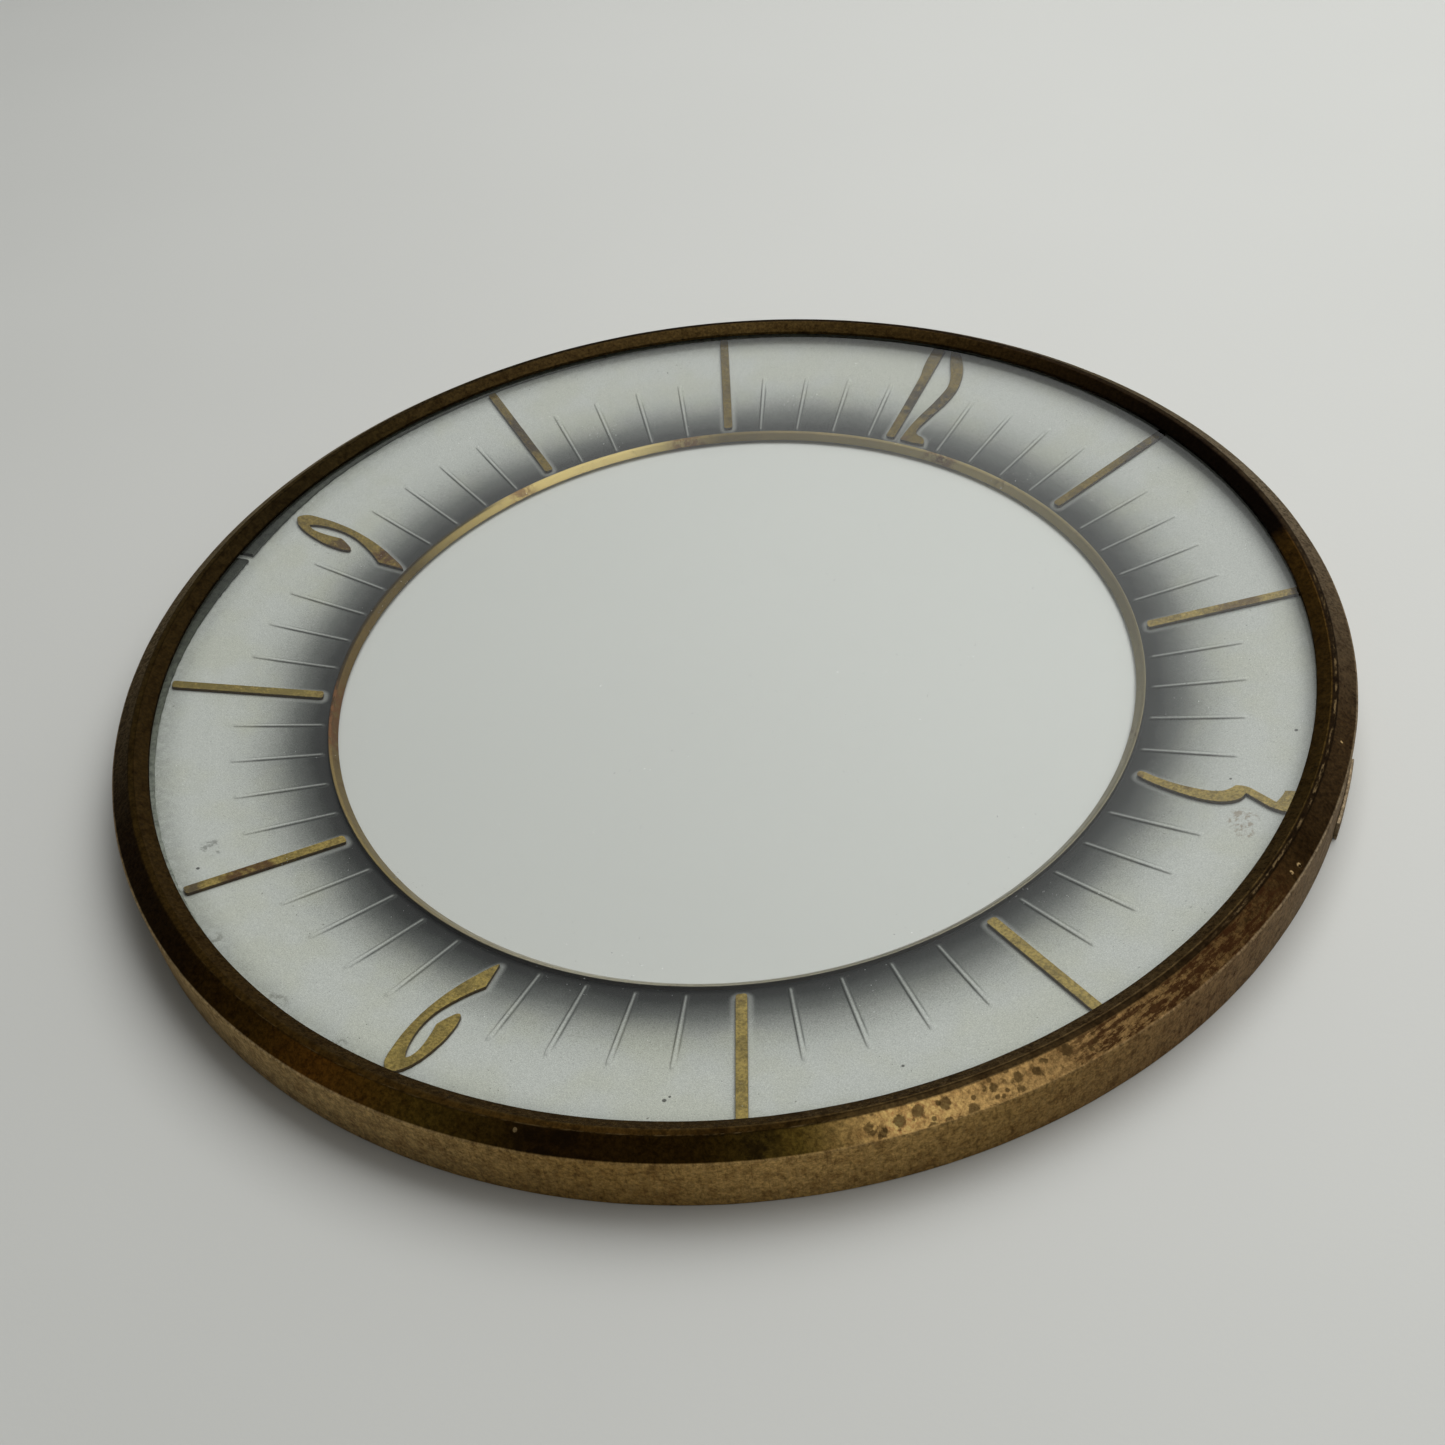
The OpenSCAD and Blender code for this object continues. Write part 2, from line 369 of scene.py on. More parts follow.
def aged_brass():
    """Brown and olive patina on brass: a brushed skirt, a mottled chamfer and a rubbed ridge. Its
    tones round the ring also hold painted reflections and shade.
    """
    s = Surface("aged_brass")
    outer = largest_radius("bezel") / MM
    ridge_out = outer - CHAMFER_WIDTH / MM
    ridge_in = ridge_out - RIDGE_WIDTH / MM
    # Painted reflections and shade: these tones are partly patina and partly painted light, such
    # as the highlight on the chamfer at half past four, the dark reflection on it from five to
    # half past five and the dark stretch on the slope from one to two o'clock.
    skirt = s.by_clock([
        (20, srgb(112, 98, 74)), (95, srgb(140, 125, 102)), (112, srgb(140, 115, 83)),
        (130, srgb(162, 132, 82)), (146, srgb(186, 153, 97)), (160, srgb(166, 134, 80)),
        (190, srgb(194, 168, 122)), (230, srgb(156, 138, 110)), (340, srgb(116, 101, 76)),
    ])
    chamfer = s.by_clock([
        (20, srgb(84, 72, 46)), (40, srgb(116, 106, 86)), (60, srgb(94, 82, 64)),
        (80, srgb(62, 48, 30)), (96, srgb(40, 28, 12)), (108, srgb(88, 66, 38)),
        (122, srgb(136, 108, 68)), (138, srgb(214, 175, 110)), (144, srgb(96, 78, 32)),
        (151, srgb(46, 32, 8)), (164, srgb(42, 27, 9)), (174, srgb(80, 62, 22)),
        (183, srgb(96, 62, 20)), (190, srgb(66, 46, 14)), (202, srgb(38, 26, 10)),
        (218, srgb(42, 30, 14)), (240, srgb(96, 82, 56)), (268, srgb(122, 110, 80)),
        (340, srgb(84, 72, 46)),
    ])
    slope = s.by_clock([
        (0, srgb(56, 42, 20)), (12, srgb(38, 27, 12)), (30, srgb(18, 12, 6)),
        (52, srgb(16, 10, 6)), (54, srgb(62, 44, 16)), (90, srgb(54, 42, 18)),
        (120, srgb(74, 60, 38)), (150, srgb(61, 48, 25)), (200, srgb(50, 38, 17)),
        (240, srgb(32, 23, 8)), (270, srgb(23, 17, 6)), (285, srgb(30, 23, 9)),
        (312, srgb(52, 40, 20)), (335, srgb(72, 57, 30)),
    ])
    ridge = s.by_clock([
        (45, srgb(30, 22, 12)), (80, srgb(18, 11, 4)), (138, srgb(18, 11, 4)),
        (160, srgb(52, 36, 12)), (240, srgb(54, 42, 18)), (290, srgb(52, 42, 22)),
        (315, srgb(32, 24, 12)),
    ])
    on_skirt = s.smooth(s.radius, outer - 0.3, outer - 0.1)
    on_slope = s.smooth(s.radius, ridge_in + 0.35, ridge_in + 0.15)
    on_chamfer = s.band(s.radius, ridge_out + 0.1, outer - 0.2, 0.1)
    on_ridge = s.band(s.radius, ridge_in + 0.1, ridge_out + 0.1, 0.12)
    tone = s.mix(on_skirt, s.mix(on_slope, chamfer, slope), skirt)
    tone = s.mix(s.math("MULTIPLY", on_ridge, 0.95), tone, ridge)

    # Mottling, and fine streaks that run up the skirt
    mottle = s.noise(1.6, detail=7, roughness=0.7)
    upright = s.noise(0.28, vector=s.stretched(1, 1, 0.16), detail=4, roughness=0.6)
    pits = s.noise(0.22, detail=3, roughness=0.6)
    flecks = s.noise(0.45, detail=6, roughness=0.75)
    tone = s.mix(s.math("MULTIPLY", s.smooth(mottle, 0.46, 0.66), 0.55), tone,
                 s.mix(0.8, tone, srgb(120, 84, 52), "MULTIPLY"))
    tone = s.mix(0.5, tone, s.smooth(flecks, 0.3, 0.7), "OVERLAY")
    streaked = s.math("MULTIPLY", on_skirt, s.smooth(upright, 0.5, 0.7))
    tone = s.mix(s.math("MULTIPLY", streaked, 0.3), tone, srgb(150, 130, 92))
    pitted = s.all_of(on_skirt, s.smooth(upright, 0.46, 0.34))
    tone = s.mix(s.math("MULTIPLY", pitted, 0.35), tone, srgb(58, 44, 26))

    # The chamfer by four o'clock: reddish-brown stains, then round spots on its brightest stretch
    stains = s.all_of(
        on_chamfer,
        s.smooth(s.noise(1, detail=6, roughness=0.75, vector=s.around(1.6, 0.5)), 0.46, 0.54),
        s.clock_band(100, 124, 3),
    )
    tone = s.mix(s.math("MULTIPLY", stains, 0.85), tone, srgb(50, 27, 12))
    for spots_per_mm, edge in ((0.5, 0.45), (1.0, 0.41)):
        dots = s.add("ShaderNodeTexVoronoi", None, {"Vector": s.point, "Scale": spots_per_mm},
                     out="Distance")
        ragged = s.math("ADD", dots, s.math("MULTIPLY", flecks, 0.3))
        spots = s.all_of(on_chamfer, s.smooth(ragged, edge + 0.05, edge - 0.05),
                         s.clock_band(121, 141, 2))
        tone = s.mix(s.math("MULTIPLY", spots, 0.75), tone, srgb(70, 54, 30))
    darkened = s.math("MAXIMUM", s.clock_band(161, 166, 1), s.clock_band(146.5, 149, 0.8))
    darkened = s.all_of(on_chamfer, darkened, s.smooth(mottle, 0.35, 0.55))
    tone = s.mix(s.math("MULTIPLY", darkened, 0.7), tone, srgb(26, 18, 8))

    # Bare metal where the ridge is rubbed, and in a few nicks. The rubbed stretch from two to half
    # past three is partly a painted highlight, and the light line along the ridge's outer edge
    # from four to seven o'clock is a painted highlight.
    broken = s.noise(1, detail=6, roughness=0.7, vector=s.around(2, 0.6))
    rubbed = s.all_of(
        s.band(s.radius, ridge_out - 0.35, ridge_out - 0.1, 0.1),
        s.smooth(broken, 0.5, 0.65),
        s.clock_band(55, 107, 4),
    )
    ridge_edge_highlight = s.all_of(
        s.band(s.radius, ridge_out - 0.02, ridge_out + 0.06, 0.04),
        s.clock_band(127, 203, 6),
        s.smooth(broken, 0.45, 0.6),
    )
    bare_and_highlight = s.math("MULTIPLY", s.math("MAXIMUM", rubbed, ridge_edge_highlight), 0.17)
    for clock, radius, size in NICKS:
        nick = s.all_of(s.spot(clock, radius, size), s.smooth(flecks, 0.45, 0.55))
        bare_and_highlight = s.math("MAXIMUM", bare_and_highlight, nick)
    tone = s.mix(bare_and_highlight, tone, srgb(186, 158, 112))

    # Patina hides the metal's own shine, most of all at a low angle
    metal = s.math("ADD", 0.7, s.math("MULTIPLY", bare_and_highlight, 0.3))
    dull = s.math("ADD", 0.36, s.math("MULTIPLY", mottle, 0.3))
    dull = s.math("SUBTRACT", dull, s.math("MULTIPLY", bare_and_highlight, 0.12))
    fine = s.bump(s.math("ADD", pits, s.math("MULTIPLY", upright, on_skirt)), 0.018)
    return s.finish(Base_Color=tone, Metallic=metal, Roughness=dull, Specular_IOR_Level=0.08,
                    Specular_Tint=srgb(120, 96, 66), Normal=s.bump(mottle, 0.05, fine))


def gilt():
    """Polished gilt on the marks and the sight ring, clouded and tarnished in patches, with a
    painted highlight on the sight ring and painted shade on the upright sides.
    """
    s = Surface("gilt", centre_of("chapter_ring"))
    ring = largest_radius("sight_ring") / MM
    bevel = ring - SIGHT_BEVEL / MM
    cloudy = s.noise(2.2, detail=6, roughness=0.6)
    tone = s.mix(s.smooth(cloudy, 0.4, 0.65), srgb(160, 138, 76), srgb(130, 112, 62))
    fog = s.noise(1.1, detail=5, roughness=0.65)
    worn = s.noise(0.35, detail=4, roughness=0.7)
    tone = s.mix(0.4, tone, s.smooth(worn, 0.3, 0.7), "OVERLAY")

    # The marks towards twelve o'clock are duller, and some are tarnished in patches
    dulled = s.by_clock([
        (38, srgb(190, 184, 140)), (58, srgb(255, 255, 255)),
        (240, srgb(255, 255, 255)), (285, srgb(180, 174, 128)),
    ])
    tone = s.mix(1.0, tone, dulled, "MULTIPLY")
    for clock, radius, size, colour in TARNISH:
        patch = s.all_of(s.spot(clock, radius, size), s.smooth(fog, 0.3, 0.55))
        tone = s.mix(s.math("MULTIPLY", patch, 0.85), tone, srgb(*colour))

    # The sight ring: golden by ten o'clock, paler elsewhere, with brown patches. Its bright gold
    # by ten o'clock is mostly a painted highlight.
    on_sight_ring = s.smooth(s.radius, ring + 0.3, ring + 0.1)
    tone = s.mix(s.math("MULTIPLY", on_sight_ring, 0.85), tone, s.by_clock([
        (15, srgb(206, 186, 130)), (50, srgb(140, 130, 102)), (130, srgb(136, 132, 120)),
        (168, srgb(188, 182, 166)), (200, srgb(138, 122, 84)), (240, srgb(106, 82, 46)),
        (270, srgb(84, 70, 38)), (281, srgb(158, 138, 84)), (297, srgb(216, 192, 126)),
        (314, srgb(232, 208, 140)), (330, srgb(122, 106, 66)), (346, srgb(166, 148, 102)),
    ]))
    on_bevel = s.all_of(s.smooth(s.radius, bevel - 0.1, bevel + 0.1), on_sight_ring)
    dark_bevel = s.all_of(on_bevel, s.clock_band(230, 289, 4))
    tone = s.mix(s.math("MULTIPLY", dark_bevel, 0.9), tone, srgb(30, 22, 10))
    for start, end in ((5, 10), (228, 242), (292, 296), (321, 326)):
        patch = s.all_of(on_sight_ring, s.clock_band(start, end, 1.5), s.smooth(fog, 0.35, 0.55))
        tone = s.mix(s.math("MULTIPLY", patch, 0.8), tone, srgb(112, 74, 44))
    freckles = s.all_of(s.smooth(s.noise(4.5, detail=4), 0.55, 0.68), s.smooth(fog, 0.5, 0.62))
    tone = s.mix(s.math("MULTIPLY", freckles, 0.6), tone, srgb(92, 62, 40))

    # Painted shade: the upright sides are darkened
    facing = s.add("ShaderNodeNewGeometry", out="Normal")
    upright = s.smooth(s.math("ABSOLUTE", s.axes_of(facing)["Z"]), 0.6, 0.3)
    tone = s.mix(s.math("MULTIPLY", upright, 0.85), tone, srgb(58, 40, 20))

    dull = s.math("ADD", 0.24, s.math("MULTIPLY", cloudy, 0.3))
    normal = s.bump(s.noise(2.4, detail=2), 0.05, s.bump(worn, 0.014))
    return s.finish(Base_Color=tone, Metallic=1.0, Roughness=dull, Normal=normal)


def silvered_lacquer():
    """Silvered lacquer, airbrushed dark towards the centre, with lighter edges at the marks."""
    s = Surface("silvered_lacquer", centre_of("chapter_ring"))
    inner = largest_radius("sight_ring") / MM
    outer = largest_radius("chapter_ring") / MM
    stipple = s.noise(0.13, detail=2, roughness=0.7)
    drift = s.noise(12, detail=3)
    edge = s.math("ADD", s.radius, s.math("MULTIPLY", s.math("SUBTRACT", drift, 0.5), 2.4))
    edge = s.math("ADD", edge, s.math("MULTIPLY", s.math("SUBTRACT", stipple, 0.5), 2.2))
    dark_reach = 14
    plain = srgb(184, 186, 181)
    tone = s.ramp(s.math("DIVIDE", s.math("SUBTRACT", edge, inner), dark_reach), [
        (0.0, srgb(14, 15, 15)), (0.11, srgb(28, 30, 29)), (0.29, srgb(88, 90, 87)),
        (0.5, srgb(148, 150, 145)), (0.68, srgb(174, 176, 171)), (0.9, plain),
    ])
    near_mark = s.add("ShaderNodeAttribute", {"attribute_name": "mark_distance"}, out="Fac")
    halo = s.smooth(near_mark, 0.9, 0.2)
    tone = s.mix(s.math("MULTIPLY", halo, 0.35), tone, plain)
    grime = s.smooth(near_mark, 0.2, 0.0)
    tone = s.mix(s.math("MULTIPLY", grime, 0.6), tone, srgb(96, 88, 72))

    # Painted highlight along each rib's crest, and painted shade along both its sides
    crest = s.add("ShaderNodeAttribute", {"attribute_name": "rib_crest_highlight"}, out="Fac")
    tone = s.mix(s.math("MULTIPLY", crest, 0.35), tone, srgb(214, 216, 210))
    side = s.add("ShaderNodeAttribute", {"attribute_name": "rib_side_shade"}, out="Fac")
    tone = s.mix(s.math("MULTIPLY", side, 0.8), tone, srgb(60, 62, 60))

    # Age: yellowed patches, a grey band by the bezel that is partly bloom and partly the painted
    # shadow of the bezel's lip, stains and scattered dark specks
    fog = s.noise(1.0, detail=6, roughness=0.7)
    yellowed = s.all_of(s.smooth(s.noise(10, detail=3), 0.42, 0.65),
                        s.smooth(s.radius, inner + 3, inner + 9))
    tone = s.mix(s.math("MULTIPLY", yellowed, 0.3), tone, srgb(176, 176, 152))
    bloom_and_shadow = s.all_of(s.smooth(s.radius, outer - 5.7, outer - 1.9), s.smooth(fog, 0.05, 0.65))
    tone = s.mix(s.math("MULTIPLY", bloom_and_shadow, 0.6), tone, srgb(118, 121, 114))
    tone = s.mix(0.22, tone, s.smooth(stipple, 0.25, 0.75), "OVERLAY")
    for clock, radius, size, colour in STAINS:
        stain = s.all_of(s.spot(clock, radius, size), s.smooth(fog, 0.48, 0.6))
        tone = s.mix(s.math("MULTIPLY", stain, 0.6), tone, srgb(*colour))
    for clock, radius, size in DIAL_SPECKS:
        tone = s.mix(s.math("MULTIPLY", s.spot(clock, radius, size), 0.85), tone, srgb(36, 34, 30))
    specks = s.all_of(s.smooth(s.noise(0.42, detail=1), 0.74, 0.8),
                      s.smooth(s.noise(7, detail=2), 0.48, 0.6))
    tone = s.mix(s.math("MULTIPLY", specks, 0.75), tone, srgb(60, 58, 50))

    dull = s.math("ADD", 0.45, s.math("MULTIPLY", stipple, 0.2))
    normal = s.bump(stipple, 0.012, s.bump(drift, 0.2))
    return s.finish(Base_Color=tone, Roughness=dull, Specular_IOR_Level=0.3, Normal=normal)


def sheet_back():
    """The dial's unpainted back: dull brass sheet, brushed round, with old lacquer drips."""
    s = Surface("sheet_back", centre_of("chapter_ring"))
    streaks = s.noise(4, vector=s.around(9, 0.1), detail=4)
    blotches = s.noise(6, detail=5)
    tone = s.mix(streaks, srgb(150, 126, 76), srgb(118, 96, 56))
    tone = s.mix(s.smooth(blotches, 0.5, 0.7), tone, srgb(96, 74, 44))
    dull = s.math("ADD", 0.38, s.math("MULTIPLY", blotches, 0.25))
    return s.finish(Base_Color=tone, Metallic=1.0, Roughness=dull, Normal=s.bump(streaks, 0.02))


def window_glass():
    """Clear flat glass with faint smears and a little dust."""
    s = Surface("window_glass")
    smears = s.smooth(s.noise(18, detail=5, roughness=0.6), 0.45, 0.8)
    dust = s.all_of(s.smooth(s.noise(0.3, detail=1), 0.74, 0.78), s.smooth(s.noise(9), 0.45, 0.65))
    clear = s.math("SUBTRACT", 1, s.math("MULTIPLY", dust, 0.35))
    dull = s.math("ADD", s.math("MULTIPLY", smears, 0.02), s.math("MULTIPLY", dust, 0.3))
    return s.finish(Base_Color=srgb(250, 253, 251), Roughness=dull, IOR=1.5,
                    Transmission_Weight=clear)


def perished_packing():
    """Matt packing strip, palest by seven o'clock and darkest at its loose ends, where the dark is
    painted shade.
    """
    s = Surface("perished_packing", centre_of("packing_ring"))
    # Painted shade: the strip's tones are darkest either side of its gap.
    base = s.by_clock([
        (40, srgb(84, 88, 80)), (180, srgb(120, 124, 114)), (215, srgb(128, 132, 122)),
        (236, srgb(88, 92, 80)), (246, srgb(62, 66, 54)), (256, srgb(50, 54, 44)),
        (266, srgb(48, 52, 44)), (272, srgb(70, 74, 64)), (300, srgb(66, 70, 60)),
    ])
    crumbs = s.noise(0.8, detail=6, roughness=0.7)
    tone = s.mix(s.smooth(crumbs, 0.4, 0.65), base, s.mix(0.6, base, srgb(90, 92, 84), "MULTIPLY"))
    return s.finish(Base_Color=tone, Roughness=0.85, Normal=s.bump(crumbs, 0.12))


def pale_table():
    """A plain, pale, slightly uneven surface."""
    s = Surface("pale_table")
    broad = s.noise(120, detail=3)
    grain = s.noise(0.6, detail=4)
    tone = s.mix(broad, srgb(206, 207, 203), srgb(198, 199, 195))
    return s.finish(Base_Color=tone, Roughness=0.6, Normal=s.bump(grain, 0.01))


# ---------------------------------------------------------------- pieces


def make_bezel(material):
    """A spun ring: skirt, chamfer, worn ridge, slope and the lip on the glass."""
    low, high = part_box("bezel")
    outer = largest_radius("bezel")
    ridge = outer - CHAMFER_WIDTH
    slope = ridge - RIDGE_WIDTH
    opening = slope - SLOPE_WIDTH
    glass_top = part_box("glass")[1].z
    section = rounded([
        (outer - BEZEL_WALL, low.z, 0.12 * MM),
        (outer, low.z, 0.2 * MM),
        (outer, high.z - CHAMFER_RISE, 0.3 * MM),
        (ridge, high.z, 0.12 * MM),
        (slope, high.z, 0.12 * MM),
        (opening, high.z - SLOPE_DROP, 0.15 * MM),
        (opening, glass_top, 0.08 * MM),
        (opening + LIP_WIDTH, glass_top, 0.05 * MM),
        (slope, high.z - BEZEL_WALL, 0.2 * MM),
        (ridge, high.z - BEZEL_WALL, 0.2 * MM),
        (outer - BEZEL_WALL, high.z - CHAMFER_RISE - BEZEL_WALL / 2, 0.3 * MM),
    ])
    points, faces = lathe(subdivided(section, 0.8 * MM), dents=DENT_DEPTH)
    return new_piece("bezel_shell", points, faces, material, ["bezel"])


def make_glass(material):
    """A flat disc with ground edges."""
    low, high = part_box("glass")
    radius = largest_radius("glass")
    arris = 0.25 * MM
    rim = [(radius - arris, low.z), (radius, low.z + arris),
           (radius, high.z - arris), (radius - arris, high.z)]
    turns = 360
    points = [(r * math.sin(TAU * c / turns), r * math.cos(TAU * c / turns), z)
              for c in range(turns) for r, z in rim]
    faces = grid_faces(turns, len(rim), wrap_rows=False)
    faces.append(tuple(c * len(rim) for c in range(turns)))
    faces.append(tuple(c * len(rim) + len(rim) - 1 for c in reversed(range(turns))))
    piece = new_piece("glass_disc", points, faces, material, ["glass"])
    piece.data.shade_flat()
    # Light reaches the dial straight through the glass
    piece.visible_shadow = False
    piece.visible_diffuse = False
    return piece


def make_sight_ring(material):
    """The turned ring round the open centre, with its two bevels."""
    low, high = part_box("sight_ring")
    outer = largest_radius("sight_ring")
    bevel = outer - SIGHT_BEVEL
    inner = bevel - SIGHT_SLOPE
    section = rounded([
        (inner, low.z + 0.25 * MM, 0.06 * MM),
        (inner + SIGHT_FOOT, low.z, 0.06 * MM),
        (outer, low.z, 0.06 * MM),
        (outer, high.z, 0.1 * MM),
        (bevel, high.z - SIGHT_BEVEL / 2, 0.1 * MM),
    ])
    points, faces = lathe(subdivided(section, 0.4 * MM), centre_of("sight_ring"))
    return new_piece("sight_ring_turned", points, faces, material, ["sight_ring"])


def across_line(column, half_way):
    """How far clockwise a column of the dial's points stands from its minute line. The columns
    crowd on the rib, and the others are spread evenly up to half way to the next line."""
    step = abs(column)
    if step < len(BESIDE_RIB):
        across = BESIDE_RIB[step] * MM
    else:
        edge = BESIDE_RIB[-1] * MM
        share = (step - len(BESIDE_RIB) + 1) / (PLAIN_COLUMNS + 1)
        across = edge + (half_way - edge) * share
    return math.copysign(across, column)


def dial_front():
    """The front of the chapter ring as columns of points from the dish's inner edge outwards,
    how many points a column has, and the values that its paint needs at each point."""
    low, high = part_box("chapter_ring")
    centre = Vector(centre_of("chapter_ring"))
    flange = largest_radius("chapter_ring")
    dish_in = largest_radius("sight_ring")
    dish_out = flange - FLANGE_WIDTH
    rise = (high.z - low.z - SHEET) / (dish_out - dish_in)
    radii = [dish_in + (dish_out - dish_in) * k / DISH_STEPS for k in range(DISH_STEPS + 1)]
    radii += [dish_out + (flange - dish_out) * k / FLANGE_STEPS
              for k in range(1, FLANGE_STEPS + 1)]
    marks = joined_tree([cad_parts[name].data for name in MARKS])
    last_column = len(BESIDE_RIB) + PLAIN_COLUMNS - 1
    half_minute = math.pi / 60

    points = []
    values = {"mark_distance": [], "rib_crest_highlight": [], "rib_side_shade": []}
    for minute in range(60):
        angle = TAU * minute / 60
        out = Vector((math.sin(angle), math.cos(angle)))
        side = Vector((math.cos(angle), -math.sin(angle)))
        for column in range(-last_column, last_column + 1):
            for r in radii:
                across = across_line(column, r * half_minute)
                turn = across / r
                place = centre + out * (r * math.cos(turn)) + side * (r * math.sin(turn))
                z = high.z - max(0.0, dish_out - r) * rise
                # Every fifth minute line has an hour mark in place of its rib
                lift, crest, beside = 0.0, 0.0, 0.0
                if minute % 5:
                    lift, crest, beside = rib_profile(abs(across), r - dish_in)
                points.append((place.x, place.y, z + lift * RIB_HEIGHT))
                found = marks.find_nearest(Vector((place.x, place.y, z)), MARK_REACH)
                nearest = found[3] if found[3] is not None else MARK_REACH
                values["mark_distance"].append(nearest / MM)
                values["rib_crest_highlight"].append(crest)
                values["rib_side_shade"].append(beside)
    return points, len(radii), values


def make_dial(front, back):
    """The pressed chapter ring. Its points follow the sixty minute lines, so that every rib is
    pressed up cleanly in front and hollow behind."""
    points, rows, values = dial_front()
    total = len(points)
    columns = total // rows
    under = [(x, y, z - SHEET) for x, y, z in points]
    faces = [face[::-1] for face in grid_faces(columns, rows, wrap_rows=False)]
    below = [tuple(total + i for i in face[::-1]) for face in faces]
    edges = []
    for c in range(columns):
        a, b = c * rows, (c + 1) % columns * rows
        edges.append((a, b, total + b, total + a))
        a, b = a + rows - 1, b + rows - 1
        edges.append((b, a, total + a, total + b))
    piece = new_piece("chapter_ring_sheet", points + under, faces + below + edges, front,
                      ["chapter_ring"])
    piece.data.materials.append(back)
    for polygon in piece.data.polygons[len(faces):]:
        polygon.material_index = 1
    for name, of_front in values.items():
        add_values(piece, name, of_front + [0.0] * total)


def joined_tree(meshes):
    """One search tree over the surfaces of several meshes."""
    points = []
    faces = []
    for mesh in meshes:
        start = len(points)
        points += [v.co.copy() for v in mesh.vertices]
        faces += [tuple(start + i for i in p.vertices) for p in mesh.polygons]
    return BVHTree.FromPolygons(points, faces)


def rib_profile(across, along):
    """Height of a minute rib here, and how near its crest and its side are, from 0 to 1: the
    strengths of its painted highlight and painted shade.
    """
    half = RIB_WIDTH / 2
    past_start = RIB_START + half - along
    past_end = along - (RIB_START + RIB_LENGTH - half)
    beyond = max(0.0, past_start, past_end)
    reach = math.hypot(across, beyond)
    t = min(1.0, max(0.0, (half + RIB_FOOT - reach) / RIB_SHOULDER))
    lift = t * t * (3 - 2 * t)
    fade = min(1.0, max(0.0, -past_end / RIB_FADE))
    crest = fade * math.exp(-((reach / RIB_CREST) ** 2))
    side = fade * math.exp(-(((reach - half) / RIB_SIDE_SHADE) ** 2))
    return lift, crest, side


def add_values(piece, name, values):
    """Stores one number at each point of the mesh, for its material."""
    attribute = piece.data.attributes.new(name, "FLOAT", "POINT")
    attribute.data.foreach_set("value", np.array(values, np.float32))


def make_packing(material):
    """The split packing ring, ragged along its inner edge, with its ends crept inwards."""
    low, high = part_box("packing_ring")
    centre = centre_of("packing_ring")
    outer = largest_radius("packing_ring")
    middle = (low.z + high.z) / 2
    half_gap = PACKING_GAP / outer / 2
    columns = 720
    points = []
    for c in range(columns):
        past_gap = half_gap + (TAU - 2 * half_gap) * c / (columns - 1)
        from_gap = min(past_gap, TAU - past_gap)
        creep = PACKING_CREEP * math.exp(-((from_gap / PACKING_CREEP_WIDTH) ** 2))
        angle = PACKING_GAP_AT + past_gap
        out = Vector((math.sin(angle), math.cos(angle), 0))
        ragged = PACKING_RAGGED * abs(noise.noise(out * 60))
        inner = PACKING_INSIDE - creep + ragged
        section = [(inner + PACKING_NOSE, low.z), (outer, low.z), (outer, high.z),
                   (inner + PACKING_NOSE, high.z), (inner, middle)]
        points += [(centre[0] + r * out.x, centre[1] + r * out.y, z) for r, z in section]
    rows = len(section)
    faces = grid_faces(columns, rows, wrap_columns=False)
    faces.append(tuple(range(rows)))
    faces.append(tuple((columns - 1) * rows + r for r in reversed(range(rows))))
    return new_piece("packing_strip", points, faces, material, ["packing_ring"])


def dress(name, material, edge):
    """Gives a CAD piece its metal, and softens its edges so that they catch the light."""
    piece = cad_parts[name]
    piece.data.materials.clear()
    piece.data.materials.append(material)
    weld = piece.modifiers.new("weld", "WELD")
    weld.merge_threshold = 0.002 * MM
    bevel = piece.modifiers.new("bevel", "BEVEL")
    bevel.width = edge
    bevel.segments = 3
    bevel.limit_method = "ANGLE"
    bevel.angle_limit = math.radians(35)
    bevel.harden_normals = True


# ---------------------------------------------------------------- stage


def make_floor(material):
    """A wide flat floor under the object."""
    mesh = bpy.data.meshes.new("floor")
    reach = 1.5
    corners = [(-reach, -reach, 0), (reach, -reach, 0), (reach, reach, 0), (-reach, reach, 0)]
    mesh.from_pydata(corners, [], [(0, 1, 2, 3)])
    mesh.materials.append(material)
    floor = bpy.data.objects.new("floor", mesh)
    bpy.context.scene.collection.objects.link(floor)


def make_camera():
    """A camera that looks at the object as the photograph does."""
    back = Vector((
        math.sin(CAMERA_AZIMUTH) * math.cos(CAMERA_ELEVATION),
        -math.cos(CAMERA_AZIMUTH) * math.cos(CAMERA_ELEVATION),
        math.sin(CAMERA_ELEVATION),
    ))
    data = bpy.data.cameras.new("camera")
    data.sensor_width = 36
    data.lens = CAMERA_LENS
    data.clip_start = 0.01
    camera = bpy.data.objects.new("camera", data)
    bpy.context.scene.collection.objects.link(camera)
    camera.rotation_mode = "QUATERNION"
    camera.location = CAMERA_TARGET + back * CAMERA_DISTANCE
    level = (-back).to_track_quat("-Z", "Y").to_matrix()
    camera.rotation_quaternion = (level @ Matrix.Rotation(CAMERA_ROLL, 3, "Z")).to_quaternion()
    bpy.context.scene.camera = camera


def softbox(name, clock, elevation, distance, width, power, colour=(1, 1, 1)):
    """A square lamp at a clock angle and elevation in degrees, facing the object."""
    data = bpy.data.lights.new(name, "AREA")
    data.size = width
    data.energy = power
    data.color = colour
    lamp = bpy.data.objects.new(name, data)
    bpy.context.scene.collection.objects.link(lamp)
    angle, rise = math.radians(clock), math.radians(elevation)
    towards = Vector((math.sin(angle) * math.cos(rise), math.cos(angle) * math.cos(rise),
                      math.sin(rise)))
    lamp.location = towards * distance
    lamp.rotation_euler = towards.to_track_quat("Z", "Y").to_euler()
    return lamp


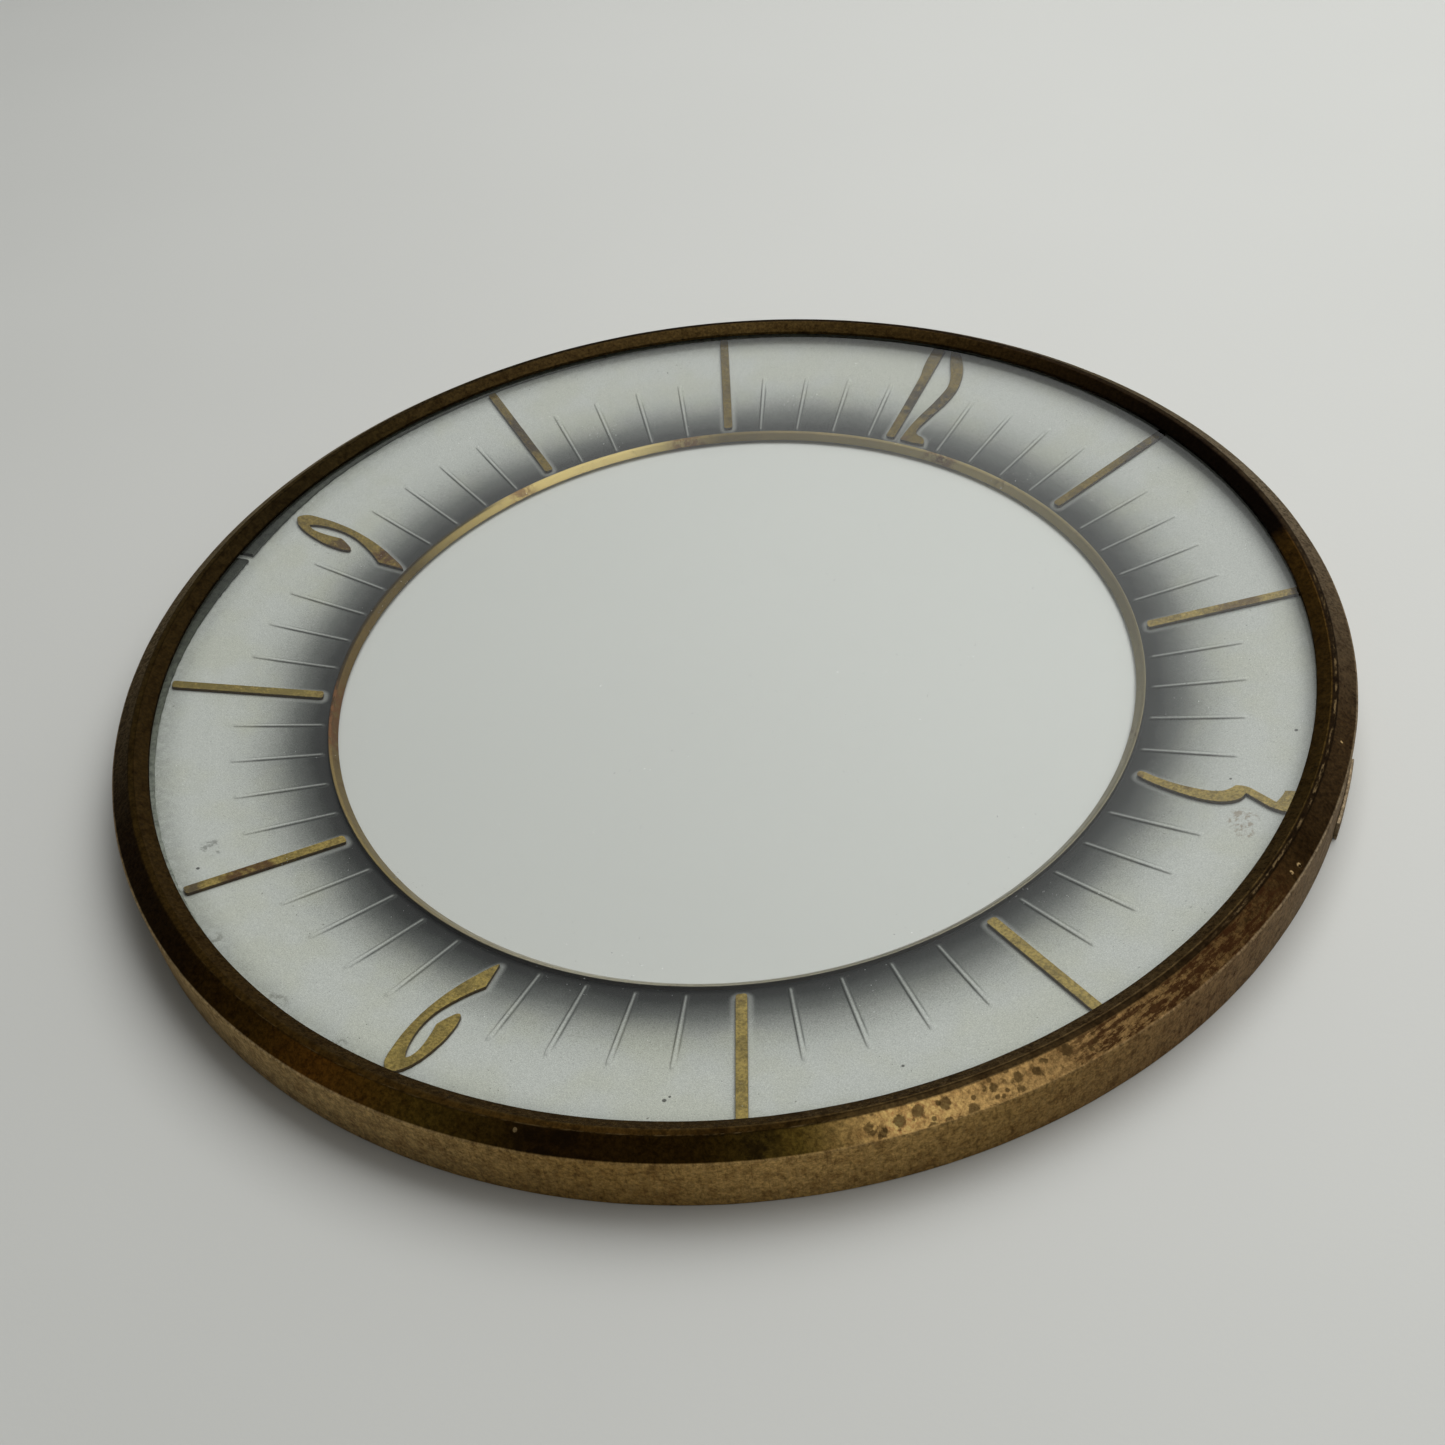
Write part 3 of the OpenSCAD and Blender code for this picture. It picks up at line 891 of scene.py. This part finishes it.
def spare(lamp, piece):
    """Keeps a lamp off one piece, as a flag would in a studio."""
    spared = bpy.data.collections.new(lamp.name + "_spares")
    spared.objects.link(piece)
    spared.collection_objects[0].light_linking.link_state = "EXCLUDE"
    lamp.light_linking.receiver_collection = spared


def make_light(glass):
    """Soft light from the far side and from high on the right, in a room whose far wall is
    bright. The glass mirrors that wall, but not the stronger lamp."""
    softbox("window", clock=85, elevation=62, distance=0.5, width=0.34, power=0.4,
            colour=(1, 0.98, 0.95))
    far_window = softbox("far_window", clock=8, elevation=60, distance=0.6, width=0.5, power=2.8)
    spare(far_window, glass)
    world = bpy.data.worlds.new("studio")
    bpy.context.scene.world = world
    world.use_nodes = True
    tree = world.node_tree
    tree.nodes.clear()
    place = tree.nodes.new("ShaderNodeTexCoord")
    towards_wall = tree.nodes.new("ShaderNodeVectorMath")
    towards_wall.operation = "DOT_PRODUCT"
    towards_wall.inputs[1].default_value = (0.3, 1.0, -0.2)
    ramp = tree.nodes.new("ShaderNodeValToRGB")
    ramp.color_ramp.elements[0].color = (0.12, 0.12, 0.118, 1)
    ramp.color_ramp.elements[0].position = 0.1
    ramp.color_ramp.elements[1].color = (0.65, 0.66, 0.65, 1)
    ramp.color_ramp.elements[1].position = 0.55
    background = tree.nodes.new("ShaderNodeBackground")
    output = tree.nodes.new("ShaderNodeOutputWorld")
    tree.links.new(place.outputs["Generated"], towards_wall.inputs[0])
    tree.links.new(towards_wall.outputs["Value"], ramp.inputs[0])
    tree.links.new(ramp.outputs[0], background.inputs["Color"])
    tree.links.new(background.outputs[0], output.inputs["Surface"])


brass = aged_brass()
gold = gilt()
make_bezel(brass)
glass = make_glass(window_glass())
make_sight_ring(gold)
make_dial(silvered_lacquer(), sheet_back())
make_packing(perished_packing())
for mark in MARKS:
    dress(mark, gold, edge=0.09 * MM)
for fixing in ("hinge_leaf", "retaining_tabs"):
    dress(fixing, brass, edge=0.12 * MM)
make_floor(pale_table())
make_camera()
make_light(glass)
bpy.context.scene.view_settings.view_transform = "Standard"
